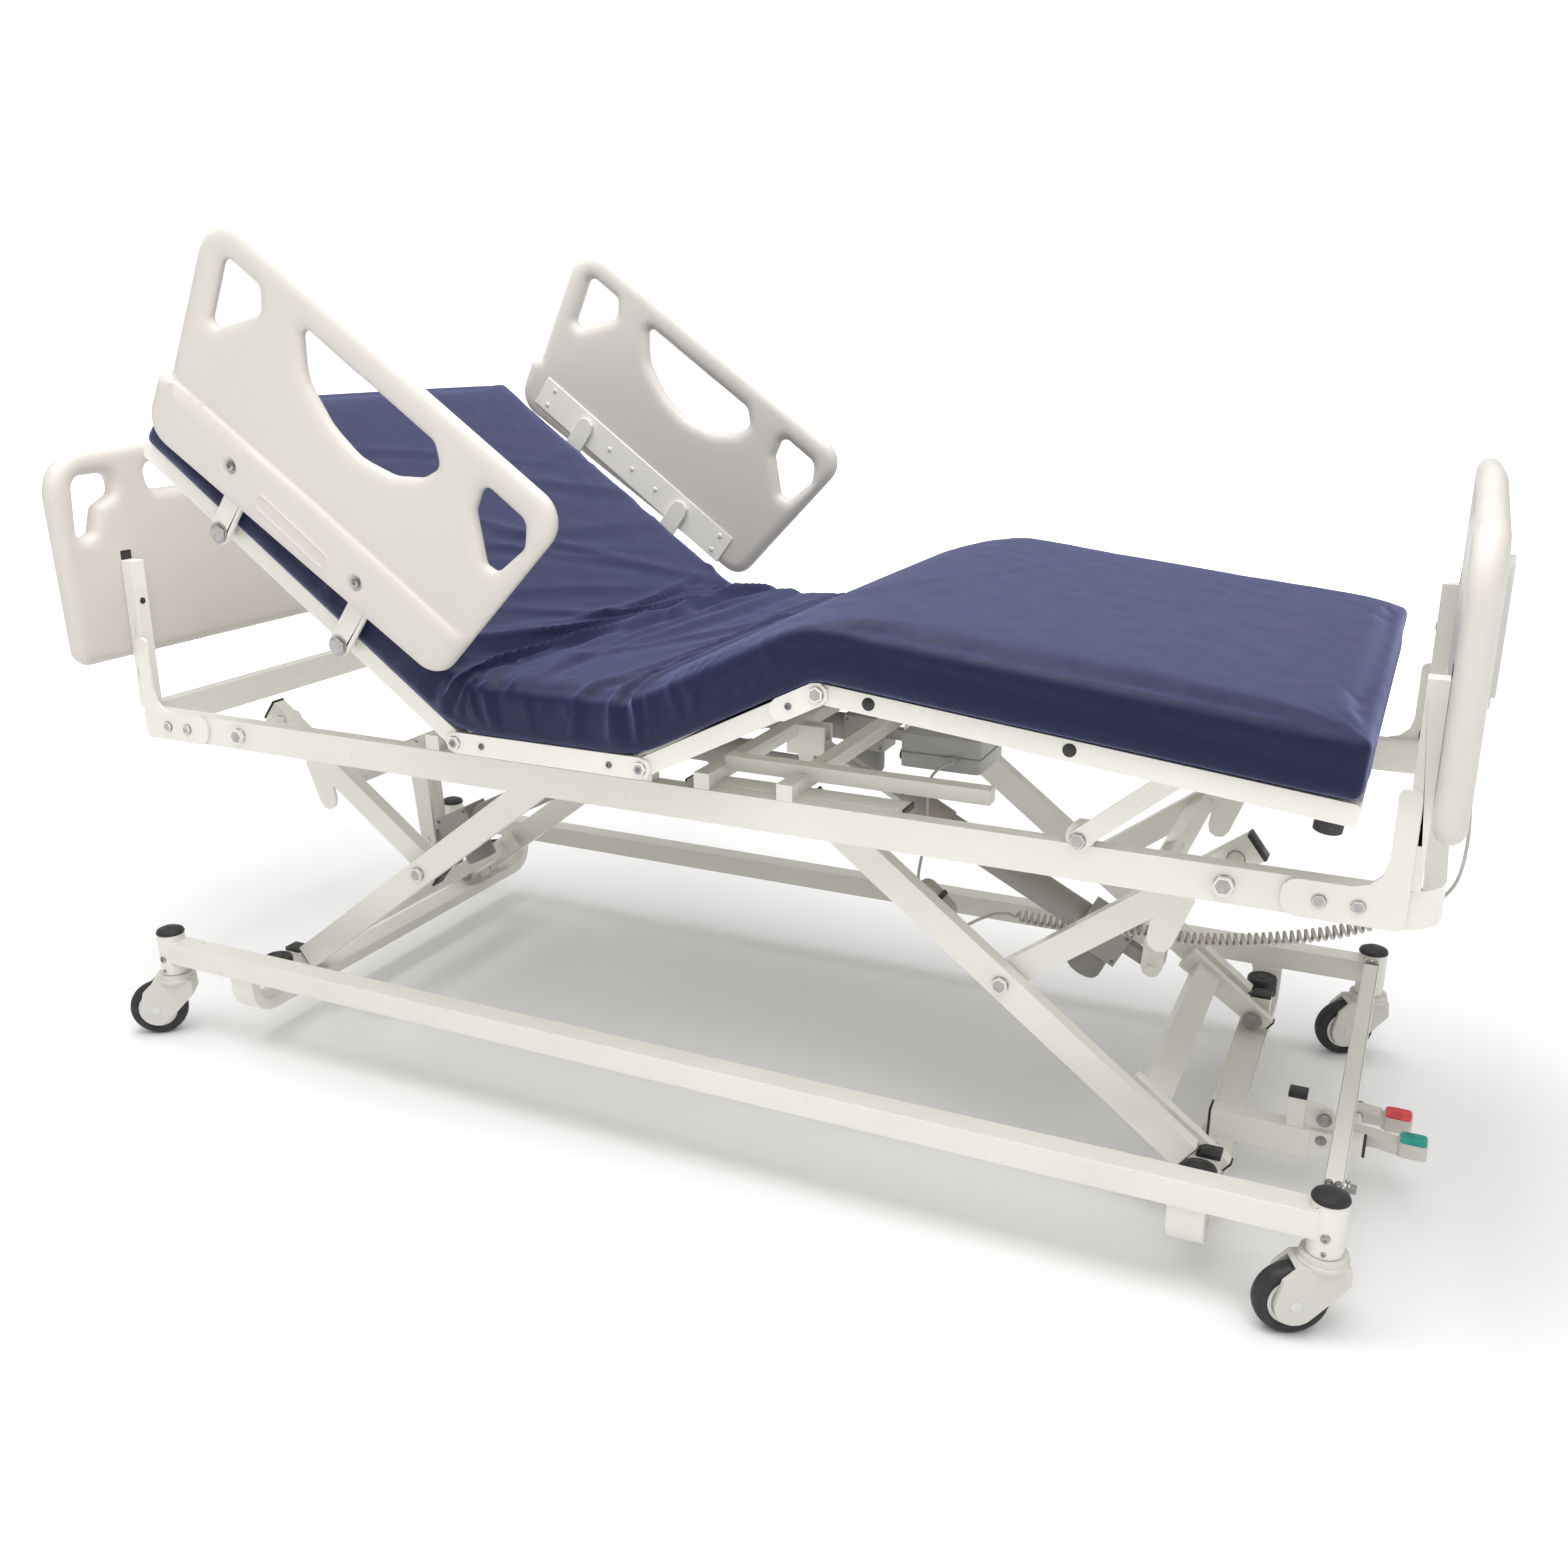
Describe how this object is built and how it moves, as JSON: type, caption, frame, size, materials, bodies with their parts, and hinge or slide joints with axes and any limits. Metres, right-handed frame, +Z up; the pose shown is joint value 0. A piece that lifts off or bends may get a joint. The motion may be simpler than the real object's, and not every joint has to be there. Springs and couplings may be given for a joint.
{
  "type": "adjustable hospital bed",
  "caption": "Wheeled hospital bed with a scissor lift, a jointed mattress deck, fold-down side rails, end boards and a corded hand control.",
  "frame": {"origin": "on the floor under the centre of the bed's bounding box", "axes": "+X to the foot end, +Y to the far side rail, +Z up"},
  "size_m": [2.1934, 1.022, 1.3798],
  "materials": {
    "frame_paint": "satin",
    "board_plastic": "satin",
    "caster_plastic": "satin",
    "tyre": "matte",
    "mattress_cover": "satin",
    "motor_plastic": "satin",
    "rod_steel": "polished",
    "handset_plastic": "satin",
    "rocker_plastic": "matte",
    "cord_jacket": "satin"
  },
  "bodies": {
    "base": {"base_rail_near": "frame_paint", "base_rail_far": "frame_paint", "base_cross_head": "frame_paint", "base_cross_foot": "frame_paint", "foot_end_bar": "frame_paint"},
    "head_leg": {"head_leg_frame": "frame_paint"},
    "head_arm": {"head_arm_frame": "frame_paint"},
    "foot_leg": {"foot_leg_frame": "frame_paint"},
    "foot_arm": {"foot_arm_frame": "frame_paint"},
    "frame": {"upper_frame": "frame_paint", "head_board_bracket_near": "frame_paint", "head_board_bracket_far": "frame_paint", "foot_board_bracket_near": "frame_paint", "foot_board_bracket_far": "frame_paint", "headboard": "board_plastic", "footboard": "board_plastic", "seat_section": "frame_paint", "mattress_seat": "mattress_cover", "control_box": "motor_plastic", "handset": "handset_plastic", "cord_box_lead": "cord_jacket", "cord_hank": "cord_jacket", "cord_middle_lead": "cord_jacket", "cord_curl": "cord_jacket", "cord_tail": "cord_jacket"},
    "back": {"back_section": "frame_paint", "mattress_back": "mattress_cover"},
    "thigh": {"thigh_section": "frame_paint", "mattress_thigh": "mattress_cover"},
    "foot": {"foot_section": "frame_paint", "mattress_foot": "mattress_cover"},
    "support_links": {"support_link_near": "frame_paint", "support_link_far": "frame_paint"},
    "rail_arm_near_lower_body": {"rail_arm_near_lower": "frame_paint"},
    "rail_arm_near_upper_body": {"rail_arm_near_upper": "frame_paint"},
    "side_rail_near_body": {"side_rail_near": "board_plastic"},
    "rail_arm_far_lower_body": {"rail_arm_far_lower": "frame_paint"},
    "rail_arm_far_upper_body": {"rail_arm_far_upper": "frame_paint"},
    "side_rail_far_body": {"side_rail_far": "board_plastic"},
    "foot_lift_body": {"foot_lift_actuator_body": "motor_plastic"},
    "foot_lift_rod": {"foot_lift_actuator_rod": "rod_steel"},
    "head_lift_body": {"head_lift_actuator_body": "motor_plastic"},
    "head_lift_rod": {"head_lift_actuator_rod": "rod_steel"},
    "back_body": {"back_actuator_body": "motor_plastic"},
    "back_rod": {"back_actuator_rod": "rod_steel"},
    "knee_body": {"knee_actuator_body": "motor_plastic"},
    "knee_rod": {"knee_actuator_rod": "rod_steel"},
    "brake_pedal_body": {"brake_pedal": "board_plastic"},
    "steer_pedal_body": {"steer_pedal": "board_plastic"},
    "lift_rocker_body": {"lift_rocker": "rocker_plastic"},
    "back_rocker_body": {"back_rocker": "rocker_plastic"},
    "knee_rocker_body": {"knee_rocker": "rocker_plastic"},
    "caster_near_head": {"caster_hood_near_head": "caster_plastic"},
    "wheel_near_head": {"caster_wheel_near_head": "tyre"},
    "caster_far_head": {"caster_hood_far_head": "caster_plastic"},
    "wheel_far_head": {"caster_wheel_far_head": "tyre"},
    "caster_near_foot": {"caster_hood_near_foot": "caster_plastic"},
    "wheel_near_foot": {"caster_wheel_near_foot": "tyre"},
    "caster_far_foot": {"caster_hood_far_foot": "caster_plastic"},
    "wheel_far_foot": {"caster_wheel_far_foot": "tyre"}
  },
  "joints": [
    {"name": "lift", "type": "hinge", "parent": "base", "child": "head_leg", "pos_m": [-0.83365, 0, 0.112], "axis": [0, -1, 0], "range_deg": [-20.8, 12.7]},
    {"name": "head_arm_fold", "type": "hinge", "parent": "head_leg", "child": "head_arm", "pos_m": [-0.53137, 0, 0.34228], "axis": [0, -1, 0], "range_deg": [-25.4, 41.6]},
    {"name": "frame_level", "type": "hinge", "parent": "head_arm", "child": "frame", "pos_m": [-0.83365, 0, 0.57255], "axis": [0, -1, 0], "range_deg": [-20.8, 12.7]},
    {"name": "foot_leg_lift", "type": "hinge", "parent": "base", "child": "foot_leg", "pos_m": [0.81035, 0, 0.112], "axis": [0, 1, 0], "range_deg": [-20.8, 12.7]},
    {"name": "foot_arm_fold", "type": "hinge", "parent": "foot_leg", "child": "foot_arm", "pos_m": [0.50807, 0, 0.34228], "axis": [0, 1, 0], "range_deg": [-25.4, 41.6]},
    {"name": "back_tilt", "type": "hinge", "parent": "frame", "child": "back", "pos_m": [-0.31065, 0, 0.645], "axis": [0, 1, 0], "range_deg": [-36.1, 25]},
    {"name": "thigh_tilt", "type": "hinge", "parent": "frame", "child": "thigh", "pos_m": [0.01135, 0, 0.645], "axis": [0, -1, 0], "range_deg": [-26.8, 5]},
    {"name": "knee_fold", "type": "hinge", "parent": "thigh", "child": "foot", "pos_m": [0.28359, 0, 0.78252], "axis": [0, -1, 0], "range_deg": [-6.28, 33.2]},
    {"name": "link_swing", "type": "hinge", "parent": "frame", "child": "support_links", "pos_m": [0.62435, 0, 0.607], "axis": [0, -1, 0], "range_deg": [-34.81, 6.57]},
    {"name": "rail_fold_near", "type": "hinge", "parent": "back", "child": "rail_arm_near_lower_body", "pos_m": [-0.4981, 0, 0.78169], "axis": [0, 1, 0], "range_deg": [0, 150]},
    {"name": "rail_follow_near", "type": "hinge", "parent": "back", "child": "rail_arm_near_upper_body", "pos_m": [-0.71464, 0, 0.9396], "axis": [0, 1, 0], "range_deg": [0, 150]},
    {"name": "rail_panel_near", "type": "hinge", "parent": "rail_arm_near_lower_body", "child": "side_rail_near_body", "pos_m": [-0.42033, 0, 0.88835], "axis": [0, 1, 0], "range_deg": [-150, 0]},
    {"name": "rail_fold_far", "type": "hinge", "parent": "back", "child": "rail_arm_far_lower_body", "pos_m": [-0.4981, 0, 0.78169], "axis": [0, 1, 0], "range_deg": [0, 150]},
    {"name": "rail_follow_far", "type": "hinge", "parent": "back", "child": "rail_arm_far_upper_body", "pos_m": [-0.71464, 0, 0.9396], "axis": [0, 1, 0], "range_deg": [0, 150]},
    {"name": "rail_panel_far", "type": "hinge", "parent": "rail_arm_far_lower_body", "child": "side_rail_far_body", "pos_m": [-0.42033, 0, 0.88835], "axis": [0, 1, 0], "range_deg": [-150, 0]},
    {"name": "foot_lift_swing", "type": "hinge", "parent": "foot_arm", "child": "foot_lift_body", "pos_m": [0.67835, -0.03, 0.3], "axis": [0, 1, 0], "range_deg": [-21.67, 13.31]},
    {"name": "foot_lift_stroke", "type": "slide", "parent": "foot_lift_body", "child": "foot_lift_rod", "axis": [-0.8913, 0, 0.4535], "range_m": [-0.1083, 0.0665]},
    {"name": "head_lift_swing", "type": "hinge", "parent": "head_arm", "child": "head_lift_body", "pos_m": [-0.70165, -0.03, 0.3], "axis": [0, -1, 0], "range_deg": [-21.67, 13.31]},
    {"name": "head_lift_stroke", "type": "slide", "parent": "head_lift_body", "child": "head_lift_rod", "axis": [0.8913, 0, 0.4535], "range_m": [-0.1083, 0.0665]},
    {"name": "back_swing", "type": "hinge", "parent": "frame", "child": "back_body", "pos_m": [0.18835, 0.22, 0.545], "axis": [0, -1, 0], "range_deg": [-0.32, 0.28]},
    {"name": "back_stroke", "type": "slide", "parent": "back_body", "child": "back_rod", "axis": [-0.9998, 0, 0.0204], "range_m": [-0.0552, 0.0386]},
    {"name": "knee_swing", "type": "hinge", "parent": "frame", "child": "knee_body", "pos_m": [-0.42165, 0.1, 0.515], "axis": [0, -1, 0], "range_deg": [-0.27, 0.21]},
    {"name": "knee_stroke", "type": "slide", "parent": "knee_body", "child": "knee_rod", "axis": [0.9999, 0, -0.0168], "range_m": [-0.0654, 0.013]},
    {"name": "steer_press", "type": "hinge", "parent": "base", "child": "steer_pedal_body", "pos_m": [0.99835, -0.0985, 0.118], "axis": [0, 1, 0], "range_deg": [-12, 12]},
    {"name": "brake_press", "type": "hinge", "parent": "base", "child": "brake_pedal_body", "pos_m": [0.99835, -0.0315, 0.118], "axis": [0, 1, 0], "range_deg": [-12, 12]},
    {"name": "lift_rock", "type": "hinge", "parent": "frame", "child": "lift_rocker_body", "pos_m": [1.09145, 0, 0.91], "axis": [0, 1, 0], "range_deg": [-7, 7], "stiffness_Nm_per_rad": 0.4},
    {"name": "back_rock", "type": "hinge", "parent": "frame", "child": "back_rocker_body", "pos_m": [1.09145, 0, 0.868], "axis": [0, 1, 0], "range_deg": [-7, 7], "stiffness_Nm_per_rad": 0.4},
    {"name": "knee_rock", "type": "hinge", "parent": "frame", "child": "knee_rocker_body", "pos_m": [1.09145, 0, 0.826], "axis": [0, 1, 0], "range_deg": [-7, 7], "stiffness_Nm_per_rad": 0.4},
    {"name": "swivel_near_head", "type": "hinge", "parent": "base", "child": "caster_near_head", "pos_m": [-1.00665, -0.413, 0.112], "axis": [0, 0, 1], "continuous": true},
    {"name": "roll_near_head", "type": "hinge", "parent": "caster_near_head", "child": "wheel_near_head", "pos_m": [-1.03614, -0.43365, 0.05], "axis": [0.5736, -0.8192, 0], "continuous": true},
    {"name": "swivel_far_head", "type": "hinge", "parent": "base", "child": "caster_far_head", "pos_m": [-1.00665, 0.413, 0.112], "axis": [0, 0, 1], "continuous": true},
    {"name": "roll_far_head", "type": "hinge", "parent": "caster_far_head", "child": "wheel_far_head", "pos_m": [-1.04048, 0.40069, 0.05], "axis": [0.342, -0.9397, 0], "continuous": true},
    {"name": "swivel_near_foot", "type": "hinge", "parent": "base", "child": "caster_near_foot", "pos_m": [0.98335, -0.413, 0.112], "axis": [0, 0, 1], "continuous": true},
    {"name": "roll_near_foot", "type": "hinge", "parent": "caster_near_foot", "child": "wheel_near_foot", "pos_m": [0.95072, -0.42821, 0.05], "axis": [0.4226, -0.9063, 0], "continuous": true},
    {"name": "swivel_far_foot", "type": "hinge", "parent": "base", "child": "caster_far_foot", "pos_m": [0.98335, 0.413, 0.112], "axis": [0, 0, 1], "continuous": true},
    {"name": "roll_far_foot", "type": "hinge", "parent": "caster_far_foot", "child": "wheel_far_foot", "pos_m": [0.95072, 0.39779, 0.05], "axis": [0.4226, -0.9063, 0], "continuous": true}
  ],
  "couplings": [
    {"joint": "head_arm_fold", "follows": "lift", "ratio": -2},
    {"joint": "frame_level", "follows": "lift", "ratio": 1},
    {"joint": "foot_leg_lift", "follows": "lift", "ratio": 1},
    {"joint": "foot_arm_fold", "follows": "lift", "ratio": -2},
    {"joint": "knee_fold", "follows": "thigh_tilt", "ratio": -1.235},
    {"joint": "link_swing", "follows": "thigh_tilt", "ratio": 1.295},
    {"joint": "rail_follow_near", "follows": "rail_fold_near", "ratio": 1},
    {"joint": "rail_panel_near", "follows": "rail_fold_near", "ratio": -1},
    {"joint": "rail_follow_far", "follows": "rail_fold_far", "ratio": 1},
    {"joint": "rail_panel_far", "follows": "rail_fold_far", "ratio": -1},
    {"joint": "foot_lift_swing", "follows": "lift", "ratio": 1.0323},
    {"joint": "foot_lift_stroke", "follows": "lift", "m_per_rad": 0.2957},
    {"joint": "head_lift_swing", "follows": "lift", "ratio": 1.0323},
    {"joint": "head_lift_stroke", "follows": "lift", "m_per_rad": 0.2957},
    {"joint": "back_swing", "follows": "back_tilt", "ratio": 0.0033},
    {"joint": "back_stroke", "follows": "back_tilt", "m_per_rad": 0.0861},
    {"joint": "knee_swing", "follows": "thigh_tilt", "ratio": 0.0026},
    {"joint": "knee_stroke", "follows": "thigh_tilt", "m_per_rad": 0.1376},
    {"joint": "brake_press", "follows": "steer_press", "ratio": -1}
  ]
}
